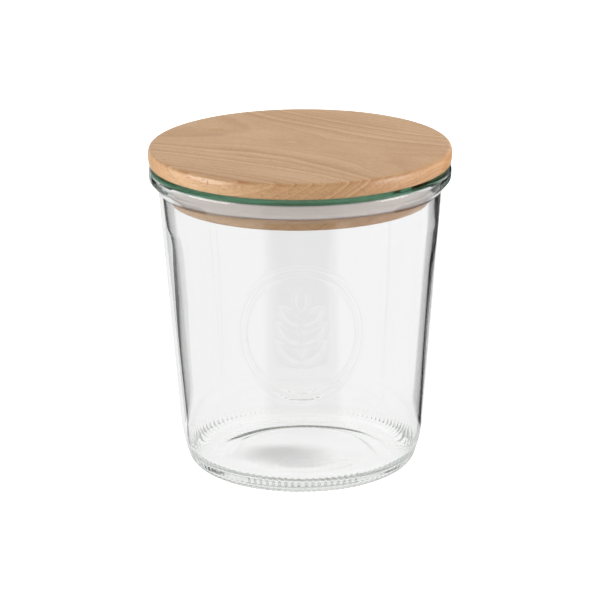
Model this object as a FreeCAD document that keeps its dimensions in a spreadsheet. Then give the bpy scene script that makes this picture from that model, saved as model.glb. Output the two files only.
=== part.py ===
"""Straight-sided glass jar with a turned beech lid and a silicone sealing ring.

Millimetres, +Z up.  The origin is the centre of the foot, in the plane the jar stands on.
Each piece is one PartDesign body, turned about Z from a half section whose corners and
radii are bound to the sheet called Sizes.
"""

import FreeCAD, Part
import os
import re
from collections import namedtuple

import Sketcher
from FreeCAD import Vector

SIZES = [
    # Jar, measured from the plane it stands on.
    ("jar_height", 110.7, "top face of the rim"),
    ("rim_diameter", 108.0, "widest part of the rim"),
    ("rim_side", 3.9, "upright side of the rim"),
    ("rim_skirt", 3.9, "height of the rim's sloping underside"),
    ("rim_top_round", 1.5, "outer top edge of the rim"),
    ("rim_side_round", 2.0, "edge between the rim's side and underside"),
    ("neck_round", 0.8, "hollow corner between rim and wall"),
    ("rim_overhang", 3.25, "how far the rim stands out from the wall below it"),
    ("heel_diameter", 87.9, "wall where it starts to curve in"),
    ("heel_height", 15.3, "height of that curve"),
    ("foot_diameter", 71.2, "outer edge of the flat foot"),
    ("foot_round", 6.0, "tight round beside the foot"),
    ("foot_width", 4.0, "flat ring the jar stands on"),
    ("push_up", 2.2, "hollow under the base"),
    # Inside of the jar.
    ("mouth_diameter", 94.0, "straight bore the lid plugs into"),
    ("mouth_depth", 20.0, "depth of that bore"),
    ("mouth_round", 1.2, "inner edge of the mouth"),
    ("wall", 2.8, "glass at the foot end of the tapered wall"),
    ("base_thickness", 4.4, "glass over the foot"),
    ("floor_dome", 1.2, "rise of the inner floor to its centre"),
    ("floor_round", 5.0, "inner corner between wall and floor"),
    # Ribs moulded round the heel of the foot.
    ("knurl_count", 112, "ribs round the foot"),
    ("knurl_width", 1.1, "one rib"),
    ("knurl_rise", 0.25, "how far a rib stands out"),
    ("knurl_low", 68.0, "lower end of a rib, in degrees below level round the foot's curve"),
    ("knurl_high", 12.0, "upper end of a rib, in the same degrees"),
    # Lid.
    ("lid_overhang", 0.25, "how far the disc stands out over the rim"),
    ("lid_thickness", 5.7, "disc"),
    ("lid_crown", 0.4, "bulge of the disc's side"),
    ("lid_top_round", 1.3, "upper edge of the disc"),
    ("lid_low_round", 0.7, "lower edge of the disc"),
    ("lid_gap", 1.4, "open joint between rim and disc"),
    ("plug_side_gap", 2.5, "room between the lid's plug and the mouth"),
    ("plug_depth", 12.9, "plug below the disc"),
    ("plug_round", 0.7, "lower edge of the plug"),
    ("collar", 2.0, "wood between the disc and the ring's groove"),
    ("groove_depth", 1.6, "groove that holds the ring"),
    # Sealing ring.
    ("seal_height", 4.8, "whole ring"),
    ("seal_lip", 2.7, "upright face of the lip that meets the glass"),
    ("seal_step", 1.5, "how far the upper band lies behind the lip"),
    ("seal_slope", 0.9, "height of the slope between them"),
    ("seal_round", 0.5, "edges of the lip"),
    ("seat_gap", 0.1, "play of the ring in its groove and in the mouth"),
]

# Distances that several pieces share, in terms of the sizes.
DISC_UNDERSIDE = "(jar_height + lid_gap)"
PLUG_RADIUS = "(mouth_diameter / 2 - plug_side_gap)"
GROOVE_RADIUS = f"({PLUG_RADIUS} - groove_depth)"
GROOVE_TOP = f"({DISC_UNDERSIDE} - collar)"
LIP_RADIUS = "(mouth_diameter / 2 - seat_gap)"

doc = FreeCAD.newDocument("LiddedJar")
sheet = doc.addObject("Spreadsheet::Sheet", "Sizes")
for row, (alias, size, meaning) in enumerate(SIZES, start=1):
    sheet.set(f"A{row}", alias)
    sheet.set(f"B{row}", str(size))
    sheet.set(f"C{row}", meaning)
    sheet.setAlias(f"B{row}", alias)
doc.recompute()


def on_sheet(text):
    """The expression with each size's name read from the sheet."""
    return re.sub(r"([a-z_]{2,})(?![a-z_(])", r"Sizes.\1", text)


def value_of(text):
    """What an expression of sizes comes to."""
    return float(sheet.evalExpression(on_sheet(text)))


def new_body(name):
    body = doc.addObject("PartDesign::Body", name)
    body.Label = name
    return body


def new_section(body, name):
    """An empty sketch on the body's XZ plane: its x is the radius, its y the height."""
    plane = [item for item in body.Origin.OriginFeatures if item.Role == "XZ_Plane"][0]
    sketch = body.newObject("Sketcher::SketchObject", name)
    sketch.AttachmentSupport = [(plane, "")]
    sketch.MapMode = "FlatFace"
    return sketch


# A corner of a section.  bend is the radius of the arc that follows it, to the right if hollow.
# smooth: the two edges meet there without a kink.  free: its place follows from the arcs.
# swept: the radius of the arc after it follows from its neighbours, and bend is a first guess.
Corner = namedtuple("Corner", "radius height bend hollow smooth free swept")
Corner.__new__.__defaults__ = (None, False, False, False, False)


def edge_between(start, end, corner):
    """The line or arc that follows a corner."""
    if corner.bend is None:
        return Part.LineSegment(start, end)
    bend = value_of(corner.bend)
    chord = end - start
    inward = Vector(-chord.y, chord.x, 0).normalize()
    if corner.hollow:
        inward = inward * -1
    centre = (start + end) / 2 + inward * max(bend**2 - chord.Length**2 / 4, 0) ** 0.5
    return Part.Arc(start, centre - inward * bend, end)


def hold_corner(sketch, edge, end, corner):
    """Place the corner by its distances from the origin, bound to the sheet."""
    for kind, axis, text in (("DistanceX", -2, corner.radius), ("DistanceY", -1, corner.height)):
        if text == "0":
            sketch.addConstraint(Sketcher.Constraint("PointOnObject", edge, end, axis))
        else:
            place = Sketcher.Constraint(kind, -1, 1, edge, end, value_of(text))
            number = sketch.addConstraint(place)
            sketch.setExpression(f"Constraints[{number}]", on_sheet(text))


def draw_section(sketch, corners):
    """Draw a closed half section, its corners given anticlockwise, and constrain it fully."""
    points = [Vector(value_of(corner.radius), value_of(corner.height), 0) for corner in corners]
    for index, corner in enumerate(corners):
        end = points[(index + 1) % len(points)]
        sketch.addGeometry(edge_between(points[index], end, corner), False)
    # A sketch keeps every arc anticlockwise, so a hollow one starts at its second end.
    starts = [2 if corner.hollow else 1 for corner in corners]
    for index, corner in enumerate(corners):
        joint = "Tangent" if corner.smooth else "Coincident"
        before = (index - 1) % len(corners)
        sketch.addConstraint(
            Sketcher.Constraint(joint, before, 3 - starts[before], index, starts[index])
        )
        if not corner.free:
            hold_corner(sketch, index, starts[index], corner)
        if corner.bend is not None and not corner.swept:
            bend = Sketcher.Constraint("Radius", index, value_of(corner.bend))
            number = sketch.addConstraint(bend)
            sketch.setExpression(f"Constraints[{number}]", on_sheet(corner.bend))


def turn(body, sketch, name):
    """Revolve the half section about Z."""
    turned = body.newObject("PartDesign::Revolution", name)
    turned.Profile = sketch
    turned.ReferenceAxis = (sketch, ["V_Axis"])
    turned.Angle = 360
    doc.recompute()
    return turned


def round_edges(body, base, name, radius, places):
    """Fillet the circles at the given (radius, height) places of a turned solid."""
    picked = []
    for place in places:
        wanted = Vector(value_of(place[0]), value_of(place[1]), 0)
        for number, edge in enumerate(base.Shape.Edges, start=1):
            if not edge.Degenerated and isinstance(edge.Curve, Part.Circle):
                found = Vector(edge.Curve.Radius, edge.Curve.Center.z, 0)
                if (found - wanted).Length < 0.01:
                    picked.append(f"Edge{number}")
    if len(picked) != len(places):
        raise RuntimeError(f"{name}: found {len(picked)} of {len(places)} edges")
    fillet = body.newObject("PartDesign::Fillet", name)
    fillet.Base = (base, picked)
    fillet.setExpression("Radius", on_sheet(radius))
    doc.recompute()
    return fillet


def make_jar():
    """Pressed glass: a thick rim, a tapered wall, a curved heel and a hollow base."""
    body = new_body("glass_jar")
    rim_radius = "rim_diameter / 2"
    neck_radius = f"{rim_radius} - rim_overhang"
    side_bottom = "jar_height - rim_side"
    neck_height = "jar_height - rim_side - rim_skirt"
    mouth_radius = "mouth_diameter / 2"
    bore_bottom = "jar_height - mouth_depth"
    foot_inside = "foot_diameter / 2 - foot_width"
    heel_reach = "(heel_diameter - foot_diameter) / 2"
    wall_inside = "heel_diameter / 2 - wall"
    # The heel's upper arc is the one that touches both the foot's round and the wall.
    heel_guess = (
        f"(({heel_reach})^2 + heel_height^2 - 2 * heel_height * foot_round)"
        f" / (2 * ({heel_reach} - foot_round))"
    )
    hollow_bend = f"(({foot_inside})^2 + push_up^2) / (2 * push_up)"
    dome_bend = f"(({wall_inside})^2 + floor_dome^2) / (2 * floor_dome)"
    section = new_section(body, "JarSection")
    draw_section(
        section,
        [
            Corner("0", "push_up", hollow_bend, hollow=True),
            Corner(foot_inside, "0"),
            Corner("foot_diameter / 2", "0", "foot_round", smooth=True),
            Corner(
                "foot_diameter / 2 + foot_round * 0.88",
                "foot_round * 0.52",
                heel_guess,
                smooth=True,
                free=True,
                swept=True,
            ),
            Corner("heel_diameter / 2", "heel_height", smooth=True),
            Corner(neck_radius, neck_height),
            Corner(rim_radius, side_bottom),
            Corner(rim_radius, "jar_height"),
            Corner(mouth_radius, "jar_height"),
            Corner(mouth_radius, bore_bottom),
            Corner(wall_inside, "base_thickness", dome_bend),
            Corner("0", "base_thickness + floor_dome"),
        ],
    )
    solid = turn(body, section, "JarTurned")
    solid = round_edges(body, solid, "RimTop", "rim_top_round", [(rim_radius, "jar_height")])
    solid = round_edges(body, solid, "RimSide", "rim_side_round", [(rim_radius, side_bottom)])
    solid = round_edges(body, solid, "Neck", "neck_round", [(neck_radius, neck_height)])
    solid = round_edges(body, solid, "Mouth", "mouth_round", [(mouth_radius, "jar_height")])
    round_edges(body, solid, "Floor", "floor_round", [(wall_inside, "base_thickness")])
    add_knurls(body)
    return body


def add_knurls(body):
    """Short ribs over the round beside the foot, one padded and the rest patterned about Z."""
    outer = "(foot_round + knurl_rise)"
    inner = "(foot_round * 0.8)"

    def on_round(reach, angle):
        return Corner(
            f"foot_diameter / 2 + {reach} * cos({angle})",
            f"foot_round - {reach} * sin({angle})",
        )

    section = new_section(body, "KnurlSection")
    draw_section(
        section,
        [
            on_round(outer, "knurl_low")._replace(bend=outer),
            on_round(outer, "knurl_high"),
            on_round(inner, "knurl_high"),
            on_round(inner, "knurl_low"),
        ],
    )
    rib = body.newObject("PartDesign::Pad", "Knurl")
    rib.Profile = section
    rib.SideType = "Symmetric"
    rib.setExpression("Length", on_sheet("knurl_width"))
    doc.recompute()
    ring = body.newObject("PartDesign::PolarPattern", "KnurlRing")
    ring.Originals = [rib]
    ring.Axis = (section, ["V_Axis"])
    ring.Angle = 360
    ring.setExpression("Occurrences", on_sheet("knurl_count"))
    body.Tip = ring
    doc.recompute()


def make_lid():
    """One piece of beech: a disc with a crowned side over a plug, grooved for the ring."""
    body = new_body("wooden_lid")
    side_radius = "rim_diameter / 2 + lid_overhang - lid_crown"
    side_bend = "(lid_thickness^2 / 4 + lid_crown^2) / (2 * lid_crown)"
    disc_top = f"{DISC_UNDERSIDE} + lid_thickness"
    plug_bottom = f"{DISC_UNDERSIDE} - plug_depth"
    groove_bottom = f"{GROOVE_TOP} - seal_height - 2 * seat_gap"
    section = new_section(body, "LidSection")
    draw_section(
        section,
        [
            Corner("0", plug_bottom),
            Corner(PLUG_RADIUS, plug_bottom),
            Corner(PLUG_RADIUS, groove_bottom),
            Corner(GROOVE_RADIUS, groove_bottom),
            Corner(GROOVE_RADIUS, GROOVE_TOP),
            Corner(PLUG_RADIUS, GROOVE_TOP),
            Corner(PLUG_RADIUS, DISC_UNDERSIDE),
            Corner(side_radius, DISC_UNDERSIDE, side_bend),
            Corner(side_radius, disc_top),
            Corner("0", disc_top),
        ],
    )
    solid = turn(body, section, "LidTurned")
    solid = round_edges(body, solid, "DiscTop", "lid_top_round", [(side_radius, disc_top)])
    solid = round_edges(body, solid, "DiscLow", "lid_low_round", [(side_radius, DISC_UNDERSIDE)])
    round_edges(body, solid, "PlugEnd", "plug_round", [(PLUG_RADIUS, plug_bottom)])
    return body


def make_seal():
    """Silicone ring: a band in the lid's groove with a wide lip pressed to the mouth."""
    body = new_body("silicone_seal")
    inside = f"{GROOVE_RADIUS} + seat_gap"
    top = f"{GROOVE_TOP} - seat_gap"
    bottom = f"{top} - seal_height"
    band_radius = f"{LIP_RADIUS} - seal_step"
    lip_top = f"{bottom} + seal_lip"
    section = new_section(body, "SealSection")
    draw_section(
        section,
        [
            Corner(inside, bottom),
            Corner(LIP_RADIUS, bottom),
            Corner(LIP_RADIUS, lip_top),
            Corner(band_radius, f"{lip_top} + seal_slope"),
            Corner(band_radius, top),
            Corner(inside, top),
        ],
    )
    solid = turn(body, section, "SealTurned")
    round_edges(
        body, solid, "LipEdges", "seal_round", [(LIP_RADIUS, bottom), (LIP_RADIUS, lip_top)]
    )
    return body


pieces = [make_jar(), make_lid(), make_seal()]
doc.recompute()

for item in doc.Objects:
    if {"Invalid", "Error"} & set(item.State):
        raise RuntimeError(f"{item.Name} did not build: {item.State}")
for piece in pieces:
    if piece.Shape.isNull() or not piece.Shape.isValid() or len(piece.Shape.Solids) != 1:
        raise RuntimeError(f"{piece.Label} is not one valid solid")

os.makedirs("parts", exist_ok=True)
for piece in pieces:
    piece.Shape.exportStep(f"parts/{piece.Label}.step")
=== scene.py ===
import math

import bpy
import mathutils
import numpy as np
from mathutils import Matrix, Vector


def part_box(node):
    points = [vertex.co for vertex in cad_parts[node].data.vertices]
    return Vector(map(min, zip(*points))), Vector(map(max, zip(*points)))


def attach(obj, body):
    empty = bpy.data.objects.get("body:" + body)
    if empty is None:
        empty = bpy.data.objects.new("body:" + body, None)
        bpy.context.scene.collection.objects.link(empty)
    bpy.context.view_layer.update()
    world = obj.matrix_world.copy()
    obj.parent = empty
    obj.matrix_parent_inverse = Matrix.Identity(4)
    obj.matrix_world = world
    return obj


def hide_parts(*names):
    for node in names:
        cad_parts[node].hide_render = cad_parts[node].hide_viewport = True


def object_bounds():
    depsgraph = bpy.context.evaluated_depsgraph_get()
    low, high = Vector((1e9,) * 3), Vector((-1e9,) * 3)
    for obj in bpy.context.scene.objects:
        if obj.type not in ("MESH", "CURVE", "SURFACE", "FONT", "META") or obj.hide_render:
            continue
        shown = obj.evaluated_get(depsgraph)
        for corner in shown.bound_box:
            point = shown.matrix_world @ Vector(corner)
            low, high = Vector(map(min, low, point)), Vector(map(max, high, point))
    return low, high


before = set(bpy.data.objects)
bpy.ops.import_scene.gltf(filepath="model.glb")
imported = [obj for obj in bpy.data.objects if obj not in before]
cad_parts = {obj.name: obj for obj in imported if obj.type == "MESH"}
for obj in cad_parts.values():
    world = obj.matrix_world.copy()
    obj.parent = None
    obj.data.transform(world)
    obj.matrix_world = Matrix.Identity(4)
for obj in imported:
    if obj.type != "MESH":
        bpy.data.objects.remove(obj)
cad_low, cad_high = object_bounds()


# ---------------------------------------------------------------------------------------------
# Glass jar.  Soda-lime glass pressed in a mould: a thick rim, a tapered wall, a curved heel with
# a ring of moulded ribs, and a hollow base.  The plunger leaves the inner wall slightly wavy.
# ---------------------------------------------------------------------------------------------

MM = 0.001
FRONT = math.radians(-90)
WHITE = (1.0, 1.0, 1.0, 1.0)
SMOOTH = {"interpolation_type": "SMOOTHSTEP"}
RIM_RADIUS = 54.0
JAR_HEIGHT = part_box("glass_jar")[1][2] / MM
RIM_SIDE = 3.9
RIM_SKIRT = 3.9
RIM_ROUND = 1.5
SKIRT_ROUND = 2.0
NECK_RADIUS = 50.75
NECK_ROUND = 0.8
HEEL_RADIUS = 43.95
HEEL_HEIGHT = 15.3
FOOT_RADIUS = 35.6
FOOT_ROUND = 6.0
FOOT_WIDTH = 4.0
FOOT_EDGE = 2.0
PUSH_UP = 1.4
PUSH_UP_SLOPE = 9.0
PUSH_UP_ROUND = 14.0
MOUTH_RADIUS = 47.0
MOUTH_DEPTH = 20.0
MOUTH_ROUND = 1.2
SHOULDER_ROUND = 30.0
WALL = 2.8
BASE_THICKNESS = 4.4
FLOOR_DOME = 1.2
FLOOR_ROUND = 5.0
ARC_STEP = math.radians(10)
# The ribs on the foot: their number and rise, how far inside and outside the foot's radius they
# set in, and the heights between which they fade out.
KNURLS = 112
KNURL_RISE = 0.11
KNURL_INSIDE, KNURL_OUTSIDE = 0.5, 1.0
KNURL_TOP, KNURL_GONE = 3.6, 5.4
COLUMNS_PER_KNURL = 4
# Waves of the inner wall: share of the depth, waves round the jar, drift per mm, and phase.
WAVES = ((0.45, 2, 0.021, 0.8), (0.35, 3, -0.034, 2.1), (0.20, 7, 0.060, 4.0))
RIPPLE, RIPPLES_PER_MM = 0.12, 0.16
WAVE_DEPTH = 0.22
OFF_CENTRE = 0.45
# Radii between which they fade in on the floor, and heights between which they fade out.
WAVES_FROM, WAVES_FULL = 2.0, 30.0
WAVES_FADE, WAVES_GONE = 80.0, 99.0
# The moulded motif in front: two ovals round a stem with leaves, as heights and lengths.
FRONT_HALF = math.radians(30)
FRONT_COLUMNS = 115
RELIEF_RISE = 0.36
RELIEF_LINE = 0.62
RELIEF_CENTRE = 62.0
RELIEF_WIDTH = 45.0
RELIEF_HEIGHT = 50.0
RELIEF_MARGIN = 1.6
RELIEF_BORDER = 2.6
STEM_ENDS = (-17.0, 8.0)
TIP_LEAF = {"foot": (0.0, 7.5), "lean": 0.0, "length": 10.5, "width": 5.0}
LEAF_PAIRS = ((-11.0, 11.5), (-4.0, 11.5), (3.0, 10.0))
LEAF_LEAN = math.radians(48)
LEAF_WIDTH = 4.6
OVAL_POINTS, STEM_POINTS, LEAF_POINTS = 700, 160, 60
# The glass is painted dark green over the last millimetre below the top of the rim: painted shade
# standing in for light that has run a long way along the glass there.
PAINTED_GREEN_FROM = 1.1
PAINTED_GREEN_TO = 0.5


def linear(hex_colour):
    """An sRGB hex value such as "D2AE8C" as linear red, green, blue and full alpha."""
    srgb = np.array([int(hex_colour[i : i + 2], 16) for i in (0, 2, 4)]) / 255
    rgb = np.where(srgb <= 0.04045, srgb / 12.92, ((srgb + 0.055) / 1.055) ** 2.4)
    return (*rgb, 1.0)


def ease(x, start, end):
    """Smooth step: 0 up to start, 1 from end, and 3t^2 - 2t^3 between them."""
    t = np.clip((x - start) / (end - start), 0, 1)
    return t * t * (3 - 2 * t)


def rounded_outline(corners, closed=False):
    """The outline through corners (radius, height, round, spacing), each rounded to an arc.

    An arc of radius r runs between the two points r / tan(half the corner's angle) from the
    corner, by the slerp of its end normals, in steps of at most ARC_STEP.  The straight run
    after a corner gets a point every spacing.
    """
    points = np.array([corner[:2] for corner in corners], float)
    count = len(points)
    arcs = []
    for index, corner in enumerate(corners):
        here = points[index]
        if corner[2] == 0 or (not closed and index in (0, count - 1)):
            arcs.append(here[None])
            continue
        back = points[index - 1] - here
        ahead = points[(index + 1) % count] - here
        back = back / np.linalg.norm(back)
        ahead = ahead / np.linalg.norm(ahead)
        half = np.arccos(np.clip(back @ ahead, -1, 1)) / 2
        bisector = (back + ahead) / np.linalg.norm(back + ahead)
        centre = here + bisector * corner[2] / np.sin(half)
        first = (here + back * corner[2] / np.tan(half) - centre) / corner[2]
        last = (here + ahead * corner[2] / np.tan(half) - centre) / corner[2]
        sweep = math.pi - 2 * half
        t = np.linspace(0, 1, max(int(math.ceil(sweep / ARC_STEP)), 2) + 1)[:, None]
        turned = (np.sin((1 - t) * sweep) * first + np.sin(t * sweep) * last) / np.sin(sweep)
        arcs.append(centre + turned * corner[2])
    runs = []
    for index in range(count if closed else count - 1):
        start = arcs[index][-1]
        end = arcs[(index + 1) % count][0]
        steps = max(int(math.ceil(np.linalg.norm(end - start) / corners[index][3])), 1)
        runs.append(arcs[index][:-1])
        runs.append(start + (end - start) * (np.arange(steps) / steps)[:, None])
    if not closed:
        runs.append(arcs[-1])
    return np.concatenate(runs)


def outward_normals(outline):
    """Unit normals to the right of an outline that runs anticlockwise round the glass."""
    along = np.gradient(outline, axis=0)
    along /= np.linalg.norm(along, axis=1)[:, None]
    return np.stack([along[:, 1], -along[:, 0]], axis=1)


def turned_piece(name, radius, height, azimuth, ring=False):
    """A mesh turned about Z from grids of radius and height, in mm: rows by columns.

    A point is (radius cos azimuth, radius sin azimuth, height).  Rows run along the outline and
    columns round the axis.  A ring joins its last row to its first; any other piece starts and
    ends on the axis, where one point closes it.
    """
    rows, columns = radius.shape
    xyz = np.stack(
        [radius * np.cos(azimuth), radius * np.sin(azimuth), height + 0 * azimuth], axis=-1
    )
    column = np.arange(columns)
    beside = np.roll(column, -1)
    if ring:
        first, last = 0, rows
        points = xyz.reshape(-1, 3)
    else:
        first, last = 1, rows - 2
        points = xyz[1:-1].reshape(-1, 3)
    row = np.arange(last - first)[:, None]
    above = (row + 1) % rows if ring else row + 1
    quads = np.stack(
        [
            row * columns + column,
            row * columns + beside,
            above * columns + beside,
            above * columns + column,
        ],
        axis=-1,
    ).reshape(-1, 4)
    faces = quads.tolist()
    if not ring:
        low_pole, high_pole = len(points), len(points) + 1
        points = np.concatenate([points, xyz[[0, -1], 0]])
        top = (rows - 3) * columns
        faces += np.stack([column * 0 + low_pole, beside, column], axis=-1).tolist()
        faces += np.stack([top + column, top + beside, column * 0 + high_pole], axis=-1).tolist()
    mesh = bpy.data.meshes.new(name)
    mesh.from_pydata((points * MM).tolist(), [], faces)
    mesh.shade_smooth()
    mesh.update()
    piece = bpy.data.objects.new(name, mesh)
    bpy.context.scene.collection.objects.link(piece)
    return piece


def jar_outline():
    """The jar's half section, from the middle of its hollow base to the middle of its floor.

    The heel is two arcs: the foot's round, and a wide one that touches both it and the wall.
    With d from the foot round's centre to the wall's lower end, n the wall's normal and q the
    foot's round, the wide radius is (d.d - q^2) / (2 (d.n - q)).
    """
    neck_height = JAR_HEIGHT - RIM_SIDE - RIM_SKIRT
    wall = np.array([NECK_RADIUS - HEEL_RADIUS, neck_height - HEEL_HEIGHT])
    wall = wall / np.linalg.norm(wall)
    normal = np.array([wall[1], -wall[0]])
    wall_end = np.array([HEEL_RADIUS, HEEL_HEIGHT])
    foot_centre = np.array([FOOT_RADIUS, FOOT_ROUND])
    reach = wall_end - foot_centre
    wide = (reach @ reach - FOOT_ROUND**2) / (2 * (reach @ normal - FOOT_ROUND))
    wide_centre = wall_end - wide * normal
    meet = (foot_centre - wide_centre) / (wide - FOOT_ROUND)
    touch = foot_centre + FOOT_ROUND * meet
    tangent = np.array([-meet[1], meet[0]])
    foot_corner = touch - tangent * touch[1] / tangent[1]
    along = np.linalg.solve(np.stack([tangent, wall], axis=1), wall_end - touch)[0]
    heel_corner = touch + tangent * along
    relief_low = RELIEF_CENTRE - RELIEF_HEIGHT / 2 - RELIEF_MARGIN
    relief_high = RELIEF_CENTRE + RELIEF_HEIGHT / 2 + RELIEF_MARGIN
    taper = wall[0] / wall[1]
    return rounded_outline(
        [
            (0.0, PUSH_UP, 0, 6.0),
            (FOOT_RADIUS - FOOT_WIDTH - PUSH_UP_SLOPE, PUSH_UP, PUSH_UP_ROUND, 3.0),
            (FOOT_RADIUS - FOOT_WIDTH, 0.0, FOOT_EDGE, 1.2),
            (foot_corner[0], foot_corner[1], FOOT_ROUND, 1.0),
            (heel_corner[0], heel_corner[1], wide, 3.0),
            (HEEL_RADIUS + taper * (relief_low - HEEL_HEIGHT), relief_low, 0, 0.6),
            (HEEL_RADIUS + taper * (relief_high - HEEL_HEIGHT), relief_high, 0, 4.0),
            (NECK_RADIUS, neck_height, NECK_ROUND, 1.5),
            (RIM_RADIUS, JAR_HEIGHT - RIM_SIDE, SKIRT_ROUND, 1.5),
            (RIM_RADIUS, JAR_HEIGHT, RIM_ROUND, 2.0),
            (MOUTH_RADIUS, JAR_HEIGHT, MOUTH_ROUND, 3.0),
            (MOUTH_RADIUS, JAR_HEIGHT - MOUTH_DEPTH, SHOULDER_ROUND, 4.0),
            (HEEL_RADIUS - WALL, BASE_THICKNESS, FLOOR_ROUND, 5.0),
            (0.0, BASE_THICKNESS + FLOOR_DOME, 0, 4.0),
        ]
    )


def jar_columns():
    """Azimuths of the jar's columns: even round the ribs, and closer over the motif in front."""
    front = np.linspace(-FRONT_HALF, FRONT_HALF, FRONT_COLUMNS)
    others = int(KNURLS * COLUMNS_PER_KNURL * (1 - FRONT_HALF / math.pi)) + 1
    rest = np.linspace(FRONT_HALF, 2 * math.pi - FRONT_HALF, others)
    return FRONT + np.concatenate([front, rest[1:-1]])


def leaf_lines(foot, lean, length, width):
    """Both edges of a leaf: a bow of sine to the 0.8 each side of its rib, leant from upright."""
    t = np.linspace(0, 1, LEAF_POINTS)
    across = width / 2 * np.sin(math.pi * t) ** 0.8
    sides = np.array([np.concatenate([across, -across]), np.tile(length * t, 2)])
    cosine, sine = math.cos(lean), math.sin(lean)
    return (np.array([[cosine, sine], [-sine, cosine]]) @ sides).T + foot


def motif_lines():
    """Points along the moulded lines in front: two ovals round a sprig of plain leaves."""
    t = np.linspace(0, 2 * math.pi, OVAL_POINTS, endpoint=False)
    oval = np.stack([np.sin(t), np.cos(t)], axis=1)
    stem = np.linspace(*STEM_ENDS, STEM_POINTS)
    lines = [
        oval * (RELIEF_WIDTH / 2, RELIEF_HEIGHT / 2),
        oval * (RELIEF_WIDTH / 2 - RELIEF_BORDER, RELIEF_HEIGHT / 2 - RELIEF_BORDER),
        np.stack([0 * stem, stem], axis=1),
        leaf_lines(**TIP_LEAF),
    ]
    for height, length in LEAF_PAIRS:
        for lean in (-LEAF_LEAN, LEAF_LEAN):
            lines.append(leaf_lines((0.0, height), lean, length, LEAF_WIDTH))
    return np.concatenate(lines)


def jar_relief(outline, azimuth):
    """How far the glass stands out along its normal, for the ribs and for the motif's lines.

    A rib is half a unit plus 0.9 cos(ribs times azimuth), held between 0 and 1.  A line is a
    bell curve: the rise times exp(-(distance from the line / line width) squared).
    """
    radius, height = outline[:, :1], outline[:, 1:]
    row = np.arange(len(outline))[:, None]
    outside = row < np.argmax(outline[:, 1])
    on_foot = outside * ease(radius, FOOT_RADIUS - KNURL_INSIDE, FOOT_RADIUS + KNURL_OUTSIDE)
    on_foot = on_foot * (1 - ease(height, KNURL_TOP, KNURL_GONE))
    relief = KNURL_RISE * on_foot * np.clip(0.5 + 0.9 * np.cos(KNURLS * azimuth), 0, 1)
    near = outside & (np.abs(height - RELIEF_CENTRE) < RELIEF_HEIGHT / 2 + RELIEF_MARGIN)
    near = near & (np.abs(azimuth - FRONT) < FRONT_HALF)
    across = radius * (azimuth - FRONT)
    spots = np.stack([across[near], (height - RELIEF_CENTRE + 0 * azimuth)[near]], axis=1)
    lines = motif_lines()
    # In 40 parts, so that the table of distances stays small.
    gap = np.concatenate(
        [
            np.sqrt(((part[:, None] - lines[None]) ** 2).sum(axis=2)).min(axis=1)
            for part in np.array_split(spots, 40)
        ]
    )
    moulded = np.zeros(near.shape)
    moulded[near] = RELIEF_RISE * np.exp(-((gap / RELIEF_LINE) ** 2))
    return relief + moulded


def plunger_waves(outline, azimuth):
    """Slow waves of the inner wall and floor: sines round the jar that drift with height.

    They fade in from the middle of the floor, and out below the mouth.  The whole inside also
    stands a little to one side, as far as minus the cosine of the azimuth times OFF_CENTRE.
    """
    height = outline[:, 1:]
    row = np.arange(len(outline))[:, None]
    inside = (row > np.argmax(outline[:, 1])) * (1 - ease(height, WAVES_FADE, WAVES_GONE))
    inside = inside * ease(outline[:, :1], WAVES_FROM, WAVES_FULL)
    waves = RIPPLE * np.sin(RIPPLES_PER_MM * height + 2 * np.sin(azimuth + 1.0))
    for share, turns, drift, phase in WAVES:
        waves = waves + share * np.sin(turns * azimuth + drift * height + phase)
    return inside * (WAVE_DEPTH * waves - OFF_CENTRE * np.cos(azimuth))


def add_node(tree, kind, inputs=(), output=0, **settings):
    """Adds a shader node with its settings and links, and gives back one of its outputs.

    Inputs are values or other nodes' outputs, in the order of the node's sockets, or by socket
    in a dictionary.
    """
    node = tree.nodes.new("ShaderNode" + kind)
    for name, value in settings.items():
        setattr(node, name, value)
    for socket, value in inputs.items() if isinstance(inputs, dict) else enumerate(inputs):
        if isinstance(value, bpy.types.NodeSocket):
            tree.links.new(value, node.inputs[socket])
        else:
            node.inputs[socket].default_value = value
    return node.outputs[output]


def new_material(name):
    """An empty node material, its node tree and its output node."""
    material = bpy.data.materials.new(name)
    material.use_nodes = True
    tree = material.node_tree
    tree.nodes.clear()
    return material, tree, tree.nodes.new("ShaderNodeOutputMaterial")


def soda_lime_glass():
    """Soda-lime container glass, fire-polished: mirror smooth, and clear across a wall.

    Round the top of the rim its colour is painted dark green, a painted shade for the green that
    its iron gives light that has come a long way along it.
    """
    material, tree, output = new_material("soda_lime_glass")
    place = add_node(tree, "TexCoord", output="Object")
    height = add_node(tree, "SeparateXYZ", (place,), "Z")
    # Painted shade: a dark green laid over the top of the rim by height, not the glass's own
    # colour.
    top = [(JAR_HEIGHT - depth) * MM for depth in (PAINTED_GREEN_FROM, PAINTED_GREEN_TO)]
    rim = add_node(tree, "MapRange", (height, *top), **SMOOTH)
    painted_rim_green = add_node(tree, "Mix", {0: rim, 6: WHITE, 7: linear("1C4C31")}, 2, data_type="RGBA")
    surface = add_node(
        tree,
        "BsdfPrincipled",
        {"Base Color": painted_rim_green, "Roughness": 0.0, "IOR": 1.52, "Transmission Weight": 1.0},
    )
    body = add_node(tree, "VolumeAbsorption", {"Color": linear("D6E4DA"), "Density": 4.0})
    tree.links.new(surface, output.inputs["Surface"])
    tree.links.new(body, output.inputs["Volume"])
    return material


outline = jar_outline()
azimuth = jar_columns()
normals = outward_normals(outline)
stand_out = jar_relief(outline, azimuth) + plunger_waves(outline, azimuth)
jar = turned_piece(
    "jar_glass",
    outline[:, :1] + stand_out * normals[:, :1],
    np.maximum(outline[:, 1:] + stand_out * normals[:, 1:], 0),
    azimuth,
)
jar.data.materials.append(soda_lime_glass())
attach(jar, "root")
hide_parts("glass_jar")


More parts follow.
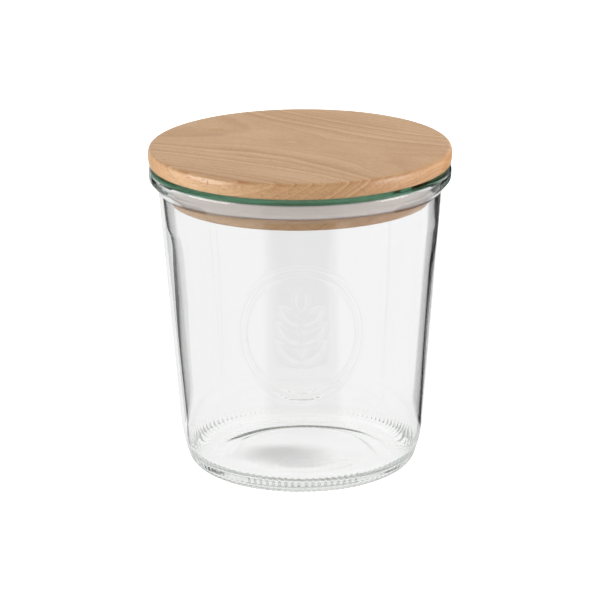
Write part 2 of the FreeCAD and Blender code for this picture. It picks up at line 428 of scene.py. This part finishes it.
# ---------------------------------------------------------------------------------------------
# Sealing ring.  Translucent silicone, moulded: a band that sits in the lid's groove, with a wide
# lip whose face is pressed flat against the glass of the mouth.
# ---------------------------------------------------------------------------------------------

SEAL_BOTTOM = 105.9
SEAL_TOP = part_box("silicone_seal")[1][2] / MM
SEAL_INSIDE = 43.0
SEAL_ROUND = 0.3
LIP_HEIGHT = 3.3
LIP_STEP = 1.5
LIP_SLOPE = 0.6
LIP_ROUND = 0.6
LIP_GAP = 0.1
ROUND_COLUMNS = np.linspace(0, 2 * math.pi, 256, endpoint=False)


def platinum_silicone():
    """Platinum-cured silicone, moulded: milky, lets light in a little way, with a satin skin."""
    material, tree, output = new_material("platinum_silicone")
    surface = add_node(
        tree,
        "BsdfPrincipled",
        {
            "Base Color": linear("D8CDC9"),
            "Roughness": 0.45,
            "IOR": 1.41,
            "Subsurface Weight": 0.6,
            "Subsurface Radius": (1.0, 0.95, 0.9),
            "Subsurface Scale": 1.5 * MM,
        },
    )
    tree.links.new(surface, output.inputs["Surface"])
    return material


lip_radius = MOUTH_RADIUS - LIP_GAP
band_radius = MOUTH_RADIUS - LIP_STEP
seal_outline = rounded_outline(
    [
        (SEAL_INSIDE, SEAL_BOTTOM, SEAL_ROUND, 1.5),
        (lip_radius, SEAL_BOTTOM, LIP_ROUND, 1.2),
        (lip_radius, SEAL_BOTTOM + LIP_HEIGHT, LIP_ROUND, 1.0),
        (band_radius, SEAL_BOTTOM + LIP_HEIGHT + LIP_SLOPE, SEAL_ROUND, 1.0),
        (band_radius, SEAL_TOP, SEAL_ROUND, 1.0),
        (SEAL_INSIDE, SEAL_TOP, SEAL_ROUND, 1.5),
    ],
    closed=True,
)
seal = turned_piece(
    "seal_ring",
    seal_outline[:, :1] + 0 * ROUND_COLUMNS,
    seal_outline[:, 1:] + 0 * ROUND_COLUMNS,
    ROUND_COLUMNS,
    ring=True,
)
seal.data.materials.append(platinum_silicone())
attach(seal, "root")
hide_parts("silicone_seal")


# ---------------------------------------------------------------------------------------------
# Lid.  One piece of steamed beech, turned and sanded: a disc with a crowned side over a plug that
# is grooved for the ring.  The board's grain runs from the back left to the front right.
# ---------------------------------------------------------------------------------------------

lid_low, lid_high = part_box("wooden_lid")
LID_TOP = lid_high[2] / MM
PLUG_BOTTOM = lid_low[2] / MM
LID_RADIUS = 54.25
LID_THICKNESS = 5.7
LID_CROWN = 0.4
CROWN_ROUND = 8.0
LID_EDGE = 1.3
LID_UNDER_EDGE = 0.7
PLUG_RADIUS = 44.5
PLUG_EDGE = 0.7
PLUG_CORNER = 0.3
GROOVE_RADIUS = 42.9
GROOVE_EDGE = 0.15
GROOVE_ROOM = 0.1
# The board: how it is turned and tilted on the lathe, and where the tree's pith lay below it.
GRAIN_TURN = math.radians(-34)
GRAIN_TILT = math.radians(1.0)
PITH_DEPTH = 58.0
PITH_ASIDE = 2.0
# The grain wanders 7 mm over some 90 mm of its length and 33 mm across, and bows along the board.
GRAIN_WANDER = (0.0, 7.0, 7.0)
WANDERS_PER_MM = (0.011, 0.03, 0.03)
GRAIN_BOW = 0.0012
RING_SPACING = 2.1
# Rays, the flecks of beech, are 2.4 mm long, 0.4 mm thin and 6 mm deep.  The fibres are drawn
# 14 mm long and 0.4 mm thick, coarser than real ones, which are too fine to show.  Paler and
# darker patches of the board are some 55 mm long and 20 mm wide.
RAYS_PER_MM = (0.42, 2.3, 0.16)
FIBRES_PER_MM = (0.07, 2.6, 2.6)
PATCHES_PER_MM = (0.018, 0.05, 0.05)
# Small marks in the wood: centre and half axes in metres, shade and strength.
WOOD_MARKS = [
    ((-0.0285, 0.0100, 0.1178), (0.0011, 0.0009, 0.004), "F0D5B2", 0.6),
    ((-0.0285, 0.0100, 0.1178), (0.0005, 0.0005, 0.004), "70472A", 0.9),
    ((-0.0300, 0.0225, 0.1178), (0.0060, 0.0035, 0.004), "B98550", 0.45),
    ((-0.0318, -0.0438, 0.1160), (0.0004, 0.0010, 0.0013), "6E4426", 0.6),
    ((-0.0332, -0.0428, 0.1167), (0.0012, 0.0012, 0.0003), "8A5C38", 0.6),
]
MARK_FADE = 0.7


def steamed_beech():
    """Steamed beech, turned, sanded and oiled: tan, with rings and fine dark flecks, half matt.

    End grain takes up more oil, so it is darker and warmer, and shows its rings more.
    """
    material, tree, output = new_material("steamed_beech")
    place = add_node(tree, "TexCoord", output="Object")
    normal = place.node.outputs["Normal"]

    # Millimetres in the board: x along the grain, y across it, z up from the pith.
    board = add_node(
        tree,
        "Mapping",
        {
            "Vector": place,
            "Location": (0.0, PITH_ASIDE * MM, (LID_TOP - PITH_DEPTH) * MM),
            "Rotation": (0.0, GRAIN_TILT, GRAIN_TURN),
            "Scale": (MM, MM, MM),
        },
        vector_type="TEXTURE",
    )
    noise = {"Scale": 1.0, "Roughness": 0.55}
    wander = add_node(tree, "VectorMath", (board, WANDERS_PER_MM), operation="MULTIPLY")
    wander = add_node(tree, "TexNoise", {"Vector": wander, "Detail": 2.0, **noise}, "Color")
    wander = add_node(tree, "VectorMath", (wander, (0.5, 0.5, 0.5)), operation="SUBTRACT")
    wander = add_node(tree, "VectorMath", (wander, GRAIN_WANDER), operation="MULTIPLY")
    grain = add_node(tree, "VectorMath", (board, wander), operation="ADD")
    along, across, up = add_node(tree, "SeparateXYZ", (grain,)).node.outputs

    # Growth rings: the distance from the pith, which bows with the square of the length, in
    # years of uneven width and strength.  Late wood darkens up to each ring's sharp edge.
    radius = add_node(tree, "VectorMath", (grain, (0.0, 1.0, 1.0)), operation="MULTIPLY")
    radius = add_node(tree, "VectorMath", (radius,), "Value", operation="LENGTH")
    bow = add_node(tree, "Math", (along, along), operation="MULTIPLY")
    bow = add_node(tree, "Math", (bow, -GRAIN_BOW), operation="MULTIPLY")
    radius = add_node(tree, "Math", (radius, bow), operation="ADD")
    year = add_node(tree, "Math", (radius, 1 / RING_SPACING), operation="MULTIPLY")
    uneven = {"W": year, "Scale": 0.6, "Detail": 1.0}
    uneven = add_node(tree, "TexNoise", uneven, "Fac", noise_dimensions="1D")
    year = add_node(tree, "Math", (uneven, 1.6, year), operation="MULTIPLY_ADD")
    part = add_node(tree, "Math", (year,), operation="FRACT")
    year = add_node(tree, "Math", (year,), operation="FLOOR")
    strength = add_node(tree, "TexWhiteNoise", {"W": year}, "Value", noise_dimensions="1D")
    strength = add_node(tree, "MapRange", (strength, -0.2, 1.1), **SMOOTH)
    late = add_node(tree, "MapRange", (part, 0.55, 0.93), **SMOOTH)
    edge = add_node(tree, "MapRange", (part, 1.0, 0.95), **SMOOTH)
    late = add_node(tree, "Math", (late, edge), operation="MULTIPLY")
    late = add_node(tree, "Math", (late, strength), operation="MULTIPLY")
    early = add_node(tree, "MapRange", (part, 0.34, 0.08), **SMOOTH)
    early = add_node(tree, "Math", (early, strength), operation="MULTIPLY")

    # Rays: spindles that run out from the pith.  The fibres are long noise along the grain.
    turn = add_node(tree, "Math", (across, up), operation="ARCTAN2")
    turn = add_node(tree, "Math", (turn, PITH_DEPTH), operation="MULTIPLY")
    rays = add_node(tree, "CombineXYZ", (along, turn, radius))
    flecks = add_node(tree, "VectorMath", (rays, RAYS_PER_MM), operation="MULTIPLY")
    flecks = add_node(tree, "TexVoronoi", {"Vector": flecks, "Scale": 1.0}, "Distance")
    flecks = add_node(tree, "MapRange", (flecks, 0.36, 0.14), **SMOOTH)
    fibres = add_node(tree, "VectorMath", (rays, FIBRES_PER_MM), operation="MULTIPLY")
    fibres = add_node(tree, "TexNoise", {"Vector": fibres, "Detail": 3.0, **noise}, "Fac")
    dark_fibres = add_node(tree, "MapRange", (fibres, 0.50, 0.80), **SMOOTH)
    pale_fibres = add_node(tree, "MapRange", (fibres, 0.46, 0.25), **SMOOTH)
    patches = add_node(tree, "VectorMath", (board, PATCHES_PER_MM), operation="MULTIPLY")
    patches = add_node(tree, "TexNoise", {"Vector": patches, "Detail": 1.0, **noise}, "Fac")
    patches = add_node(tree, "MapRange", (patches, 0.35, 0.65), **SMOOTH)

    # End grain is where the surface faces along the board, and the rounded edge is where it
    # faces neither up nor out.
    ends = (math.cos(GRAIN_TURN), math.sin(GRAIN_TURN), 0.0)
    end_grain = add_node(tree, "VectorMath", (normal, ends), "Value", operation="DOT_PRODUCT")
    end_grain = add_node(tree, "Math", (end_grain,), operation="ABSOLUTE")
    end_grain = add_node(tree, "MapRange", (end_grain, 0.2, 0.9), **SMOOTH)
    flat = add_node(tree, "SeparateXYZ", (normal,), "Z")
    flat = add_node(tree, "Math", (flat,), operation="ABSOLUTE")
    from_side = add_node(tree, "MapRange", (flat, 0.1, 0.5), **SMOOTH)
    from_top = add_node(tree, "MapRange", (flat, 0.995, 0.85), **SMOOTH)
    rounded = add_node(tree, "Math", (from_side, from_top), operation="MULTIPLY")
    rings = add_node(tree, "Math", (end_grain, 0.45, 0.22), operation="MULTIPLY_ADD")
    rings = add_node(tree, "Math", (flat, 0.50, rings), operation="MULTIPLY_ADD")
    late = add_node(tree, "Math", (late, rings), operation="MULTIPLY")
    early = add_node(tree, "Math", (early, rings), operation="MULTIPLY")

    # Each tone is laid over those before it: shade, where it shows, and strength.
    tones = [
        ("A9703A", end_grain, 0.45),
        ("96602F", rounded, 0.22),
        ("A26A38", late, 1.0),
        ("DDBC94", early, 0.70),
        ("A97B4E", dark_fibres, 0.48),
        ("E6C7A2", pale_fibres, 0.40),
        ("8C5F38", flecks, 0.38),
    ]
    for centre, half_axes, shade, strength in WOOD_MARKS:
        away = add_node(tree, "VectorMath", (place, centre), operation="SUBTRACT")
        scale = [1 / half for half in half_axes]
        away = add_node(tree, "VectorMath", (away, scale), operation="MULTIPLY")
        away = add_node(tree, "VectorMath", (away,), "Value", operation="LENGTH")
        mark = add_node(tree, "MapRange", (away, 1.0, 1.0 - MARK_FADE), **SMOOTH)
        tones.append((shade, mark, strength))
    mixed = {0: patches, 6: linear("CDA67C"), 7: linear("C49A70")}
    colour = add_node(tree, "Mix", mixed, 2, data_type="RGBA")
    for shade, where, strength in tones:
        share = add_node(tree, "Math", (where, strength), operation="MULTIPLY")
        mixed = {0: share, 6: colour, 7: linear(shade)}
        colour = add_node(tree, "Mix", mixed, 2, data_type="RGBA")

    pores = add_node(tree, "Math", (flecks, 0.4), operation="MULTIPLY")
    height = add_node(tree, "Math", (fibres, pores), operation="SUBTRACT")
    bump = {"Strength": 0.15, "Distance": 0.2 * MM, "Height": height}
    surface = add_node(
        tree,
        "BsdfPrincipled",
        {
            "Base Color": colour,
            "Roughness": 0.36,
            "IOR": 1.48,
            "Specular IOR Level": 0.6,
            "Normal": add_node(tree, "Bump", bump),
        },
    )
    tree.links.new(surface, output.inputs["Surface"])
    return material


disc_low = LID_TOP - LID_THICKNESS
groove_top = SEAL_TOP + GROOVE_ROOM
groove_bottom = SEAL_BOTTOM - GROOVE_ROOM
lid_outline = rounded_outline(
    [
        (0.0, PLUG_BOTTOM, 0, 6.0),
        (PLUG_RADIUS, PLUG_BOTTOM, PLUG_EDGE, 2.0),
        (PLUG_RADIUS, groove_bottom, GROOVE_EDGE, 1.0),
        (GROOVE_RADIUS, groove_bottom, GROOVE_EDGE, 2.0),
        (GROOVE_RADIUS, groove_top, GROOVE_EDGE, 1.0),
        (PLUG_RADIUS, groove_top, GROOVE_EDGE, 1.0),
        (PLUG_RADIUS, disc_low, PLUG_CORNER, 3.0),
        (LID_RADIUS - LID_CROWN, disc_low, LID_UNDER_EDGE, 1.0),
        (LID_RADIUS, disc_low + LID_THICKNESS / 2, CROWN_ROUND, 1.0),
        (LID_RADIUS - LID_CROWN, LID_TOP, LID_EDGE, 4.0),
        (0.0, LID_TOP, 0, 4.0),
    ]
)
lid = turned_piece(
    "lid_beech",
    lid_outline[:, :1] + 0 * ROUND_COLUMNS,
    lid_outline[:, 1:] + 0 * ROUND_COLUMNS,
    ROUND_COLUMNS,
)
lid.data.materials.append(steamed_beech())
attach(lid, "root")
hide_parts("wooden_lid")


# ---------------------------------------------------------------------------------------------
# Table.  A matt white top that reads as the backdrop.  Behind the jar's glass it is a little
# darker than to the eye, with a painted pool of light and a painted shade under the jar, and
# darkest in a
# painted reflection: the table in front is painted near black where the thick glass mirrors it,
# for the dim front of the room.
# ---------------------------------------------------------------------------------------------

TABLE_RADIUS = 3.0
TABLE_SIDES = 64
TABLE_BELOW = 0.0001
TABLE_WHITE = 0.8
# How bright it is: to the camera, and seen through glass beside the jar and below it, where a
# painted pool of light makes it brighter inside the radii of its edge and core.
CAMERA_WHITE, CAMERA_GLOW = 0.7, 0.85
GLASS_WHITE = 0.12
SEEN_THROUGH = 0.77
PAINTED_LIGHT_BELOW = 0.89
PAINTED_LIGHT_EDGE, PAINTED_LIGHT_CORE = 0.055, 0.035
# The soft shade under the base's middle: centre, half axes, level, and its full core's share.
SHADE_PLACE = (-0.007, 0.0, 0.0)
SHADE_SIZE = (0.022, 0.010, 1.0)
SHADE_LEVEL = 0.42
SHADE_CORE = 0.2
# A painted reflection: the table in front is painted near black where the glass mirrors it,
# standing
# for the dark end of the room: width over distance at the wedge's edge and core, the distances at
# which it sets in, and its level.
WEDGE_EDGE, WEDGE_CORE = 0.60, 0.45
WEDGE_NEAR, WEDGE_FAR = 0.07, 0.11
PAINTED_REFLECTION_LEVEL = 0.05


def lit_and_glowing(tree, white, glow):
    """A matt surface of one brightness that also gives off an even glow."""
    matt = add_node(tree, "BsdfDiffuse", ((white, white, white, 1.0),))
    glow = add_node(tree, "Emission", (WHITE, glow))
    return add_node(tree, "AddShader", (matt, glow))


def painted_reflection_wedge(tree, place):
    """One in a wedge of the table in front of the jar, by width over distance, else zero: the
    place of the painted dark reflection.
    """
    x, y, _ = add_node(tree, "SeparateXYZ", (place,)).node.outputs
    slope = add_node(tree, "Math", (x,), operation="ABSOLUTE")
    slope = add_node(tree, "Math", (slope, y), operation="DIVIDE")
    wedge = add_node(tree, "MapRange", (slope, -WEDGE_EDGE, -WEDGE_CORE), **SMOOTH)
    ahead = add_node(tree, "MapRange", (y, -WEDGE_NEAR, -WEDGE_FAR), **SMOOTH)
    return add_node(tree, "Math", (wedge, ahead), operation="MULTIPLY")


def shade_below(tree, place):
    """One in a soft oval of the table under the middle of the hollow base, else zero."""
    away = add_node(tree, "VectorMath", (place, SHADE_PLACE), operation="SUBTRACT")
    scale = [1 / half for half in SHADE_SIZE]
    away = add_node(tree, "VectorMath", (away, scale), operation="MULTIPLY")
    away = add_node(tree, "VectorMath", (away,), "Value", operation="LENGTH")
    return add_node(tree, "MapRange", (away, 1.0, SHADE_CORE), **SMOOTH)


def white_table():
    """A matt white table top that reads as the backdrop but keeps the jar's shadow.

    The camera, the glass and the matt surfaces each see it at a level of its own.  Seen in the
    glass it has a painted pool of light under the jar, and a painted dark reflection in front.
    """
    material, tree, output = new_material("white_table")
    light = add_node(tree, "LightPath").node.outputs
    place = add_node(tree, "TexCoord", output="Object")
    from_axis = add_node(tree, "VectorMath", (place, (1.0, 1.0, 0.0)), operation="MULTIPLY")
    from_axis = add_node(tree, "VectorMath", (from_axis,), "Value", operation="LENGTH")
    # Painted light: seen through the glass, the table under the jar is painted brighter.
    painted_light_share = add_node(tree, "MapRange", (from_axis, PAINTED_LIGHT_EDGE, PAINTED_LIGHT_CORE), **SMOOTH)
    painted_light_gain = PAINTED_LIGHT_BELOW - SEEN_THROUGH
    seen = add_node(tree, "Math", (painted_light_share, painted_light_gain, SEEN_THROUGH), operation="MULTIPLY_ADD")
    shade = shade_below(tree, place)
    seen = add_node(tree, "MapRange", (shade, 0.0, 1.0, seen, SHADE_LEVEL))
    # Painted reflection: rays that the glass has mirrored see the wedge in front painted near
    # black.
    mirrored = add_node(tree, "Math", (light["Glossy Depth"], 1.0), operation="MINIMUM")
    dark = painted_reflection_wedge(tree, place)
    mirrored = add_node(tree, "Math", (mirrored, dark), operation="MULTIPLY")
    glow = add_node(tree, "MapRange", (mirrored, 0.0, 1.0, seen, PAINTED_REFLECTION_LEVEL))
    glass_ray = (light["Is Glossy Ray"], light["Is Transmission Ray"])
    by_glass = add_node(tree, "Math", glass_ray, operation="MAXIMUM")
    matt = add_node(tree, "BsdfDiffuse", ((TABLE_WHITE, TABLE_WHITE, TABLE_WHITE, 1.0),))
    in_glass = lit_and_glowing(tree, GLASS_WHITE, glow)
    surface = add_node(tree, "MixShader", (by_glass, matt, in_glass))
    backdrop = lit_and_glowing(tree, CAMERA_WHITE, CAMERA_GLOW)
    surface = add_node(tree, "MixShader", (light["Is Camera Ray"], surface, backdrop))
    tree.links.new(surface, output.inputs["Surface"])
    return material


def table_top():
    """A flat disc just under the jar's foot, as one face with its corners on a circle."""
    turn = np.linspace(0, 2 * math.pi, TABLE_SIDES, endpoint=False)
    rim = np.stack([np.cos(turn), np.sin(turn), 0 * turn], axis=1) * TABLE_RADIUS
    rim[:, 2] = cad_low[2] - TABLE_BELOW
    mesh = bpy.data.meshes.new("table_top")
    mesh.from_pydata(rim.tolist(), [], [list(range(TABLE_SIDES))])
    mesh.materials.append(white_table())
    table = bpy.data.objects.new("table_top", mesh)
    bpy.context.scene.collection.objects.link(table)
    return table


table_top()


# ---------------------------------------------------------------------------------------------
# Room.  White walls all round the table under a dimmer ceiling.  Light that has already met a
# matt surface, as it does inside the jar, finds a fill.
# ---------------------------------------------------------------------------------------------

# Its level for matt surfaces, at the horizon, and for its ceiling, as mirrored and as seen
# through glass, with the heights between which it goes from one to the other.
ROOM = 0.36
HORIZON = 0.95
CEILINGS = {"Is Glossy Ray": 0.30, "Is Transmission Ray": 0.80}
CEILING_FROM, CEILING_TO = 0.06, 0.30
FILL_INSIDE = 1.3


def white_room():
    """A world that is white to the camera, and for glass goes from horizon to ceiling."""
    world = bpy.data.worlds.new("white_room")
    world.use_nodes = True
    tree = world.node_tree
    tree.nodes.clear()
    output = tree.nodes.new("ShaderNodeOutputWorld")
    light = add_node(tree, "LightPath").node.outputs
    inside = add_node(tree, "Math", (light["Diffuse Depth"], 1.0), operation="MINIMUM")
    sky = add_node(tree, "TexCoord", output="Generated")
    height = add_node(tree, "SeparateXYZ", (sky,), "Z")
    room = add_node(tree, "Background", (WHITE, ROOM))
    for ray, ceiling in CEILINGS.items():
        levels = (height, CEILING_FROM, CEILING_TO, HORIZON, ceiling)
        level = add_node(tree, "MapRange", levels, **SMOOTH)
        level = add_node(tree, "Math", (inside, FILL_INSIDE, level), operation="MULTIPLY_ADD")
        seen = add_node(tree, "Background", (WHITE, level))
        room = add_node(tree, "MixShader", (light[ray], room, seen))
    white = add_node(tree, "Background", (WHITE, 1.0))
    room = add_node(tree, "MixShader", (light["Is Camera Ray"], room, white))
    tree.links.new(room, output.inputs["Surface"])
    bpy.context.scene.world = world


white_room()


# ---------------------------------------------------------------------------------------------
# Black flags.  One upright card on each side, a little behind the jar, draws the dark edges
# that clear glass needs to stand out from a white ground.
# ---------------------------------------------------------------------------------------------

CARD_BLACK = (0.02, 0.02, 0.02, 1.0)
FLAG_BACK = 25.0
FLAG_WIDTH = 40.0
FLAG_FOOT = 0.5
FLAG_TOP = 116.0
FLAG_INSET = 1.5


def black_card():
    """Black card, matt: it sends back hardly any light, and only mirrored light meets it."""
    material, tree, output = new_material("black_card")
    black = add_node(tree, "BsdfDiffuse", (CARD_BLACK,))
    depth = add_node(tree, "LightPath", output="Glossy Depth")
    mirrored = add_node(tree, "Math", (depth, 1.0), operation="MINIMUM")
    clear = add_node(tree, "BsdfTransparent")
    surface = add_node(tree, "MixShader", (mirrored, clear, black))
    tree.links.new(surface, output.inputs["Surface"])
    return material


def upright_flag(name, side, gap, material):
    """An upright card beside and behind the jar, whose near edge keeps a gap to the wall."""
    rows = [(HEEL_RADIUS - FLAG_INSET, FLAG_FOOT), (NECK_RADIUS - FLAG_INSET, FLAG_TOP)]
    corners = []
    for (radius, height), order in zip(rows, (1, -1)):
        near, far = side * (radius + gap), side * (radius + gap + FLAG_WIDTH)
        corners += [(x * MM, FLAG_BACK * MM, height * MM) for x in (near, far)[::order]]
    card = bpy.data.meshes.new(name)
    card.from_pydata(corners, [], [(0, 1, 2, 3)])
    card.materials.append(material)
    flag = bpy.data.objects.new(name, card)
    flag.visible_camera = False
    flag.visible_diffuse = False
    flag.visible_shadow = False
    bpy.context.scene.collection.objects.link(flag)
    return flag


card_material = black_card()
upright_flag("left_flag", -1, 22.8, card_material)
upright_flag("right_flag", 1, 13.0, card_material)


# ---------------------------------------------------------------------------------------------
# Soft boxes.  Three rectangular lamps: a large one on the left, a fill on the right, and a long
# narrow one behind on the right that lights the lid's edge.
# ---------------------------------------------------------------------------------------------

LAMP_TARGET = mathutils.Vector((0, 0, 0.10))


def soft_box(name, place, size, watts, long_side=(0, 0, 1), mirrored=True):
    """A rectangular lamp at place that faces the lid, with its long side near long_side.

    The sides come from the line to the target by taking away what of long_side lies along it.
    The lamp never shows through glass, and nothing reflects it unless mirrored is true.
    """
    lamp = bpy.data.lights.new(name, "AREA")
    lamp.shape = "RECTANGLE"
    lamp.size, lamp.size_y = size
    lamp.energy = watts
    light = bpy.data.objects.new(name, lamp)
    back = (mathutils.Vector(place) - LAMP_TARGET).normalized()
    across = mathutils.Vector(long_side)
    across = (across - across.dot(back) * back).normalized()
    turned = mathutils.Matrix((across, back.cross(across), back)).transposed()
    light.matrix_world = mathutils.Matrix.Translation(place) @ turned.to_4x4()
    light.visible_transmission = False
    light.visible_glossy = mirrored
    bpy.context.scene.collection.objects.link(light)


soft_box("left_softbox", (-1.10, -0.35, 0.40), (1.0, 0.8), 15.0)
soft_box("right_fill", (1.05, -0.32, 0.25), (0.9, 0.5), 10.0)
# This one would lie on the lid as a white glare from the other side, so nothing reflects it.
soft_box("right_softbox", (0.70, 0.50, 0.60), (0.9, 0.25), 7.0, (-0.11, 0.37, -0.28), False)


# ---------------------------------------------------------------------------------------------
# Camera.  A long lens from a little above the lid.  It stands back along a line at the view's
# elevation and looks at AIM, with its right side turned from level by the roll.
# ---------------------------------------------------------------------------------------------

VIEW_DISTANCE = 1.2
VIEW_ELEVATION = math.radians(17.4)
VIEW_ROLL = math.radians(-0.44)
VIEW_CENTRE = 0.055
AIM = (-0.0004, 0.0014, 0.0596)
LENS = 199.4
SENSOR = 36.0
NEAREST = 0.01
LIGHT_BOUNCES = 40

ahead = np.array([0, math.cos(VIEW_ELEVATION), -math.sin(VIEW_ELEVATION)])
position = np.array([0, 0, VIEW_CENTRE]) - VIEW_DISTANCE * ahead
look = np.array(AIM) - position
look /= np.linalg.norm(look)
above = np.array([0, math.sin(VIEW_ELEVATION), math.cos(VIEW_ELEVATION)])
right = np.array([math.cos(VIEW_ROLL), 0, 0]) + math.sin(VIEW_ROLL) * above
right -= (right @ look) * look
right /= np.linalg.norm(right)
up = np.cross(right, look)
camera_data = bpy.data.cameras.new("camera")
camera_data.lens = LENS
camera_data.sensor_width = SENSOR
camera_data.clip_start = NEAREST
camera = bpy.data.objects.new("camera", camera_data)
camera.matrix_world = mathutils.Matrix(
    [[*row, place] for row, place in zip(np.stack([right, up, -look], axis=1), position)]
    + [[0, 0, 0, 1]]
)
bpy.context.scene.collection.objects.link(camera)
bpy.context.scene.camera = camera
bpy.context.scene.view_settings.view_transform = "Standard"
# Light is mirrored many times inside the thick rim and the heel before it comes out again.
bpy.context.scene.cycles.max_bounces = LIGHT_BOUNCES
bpy.context.scene.cycles.glossy_bounces = LIGHT_BOUNCES
bpy.context.scene.cycles.transmission_bounces = LIGHT_BOUNCES
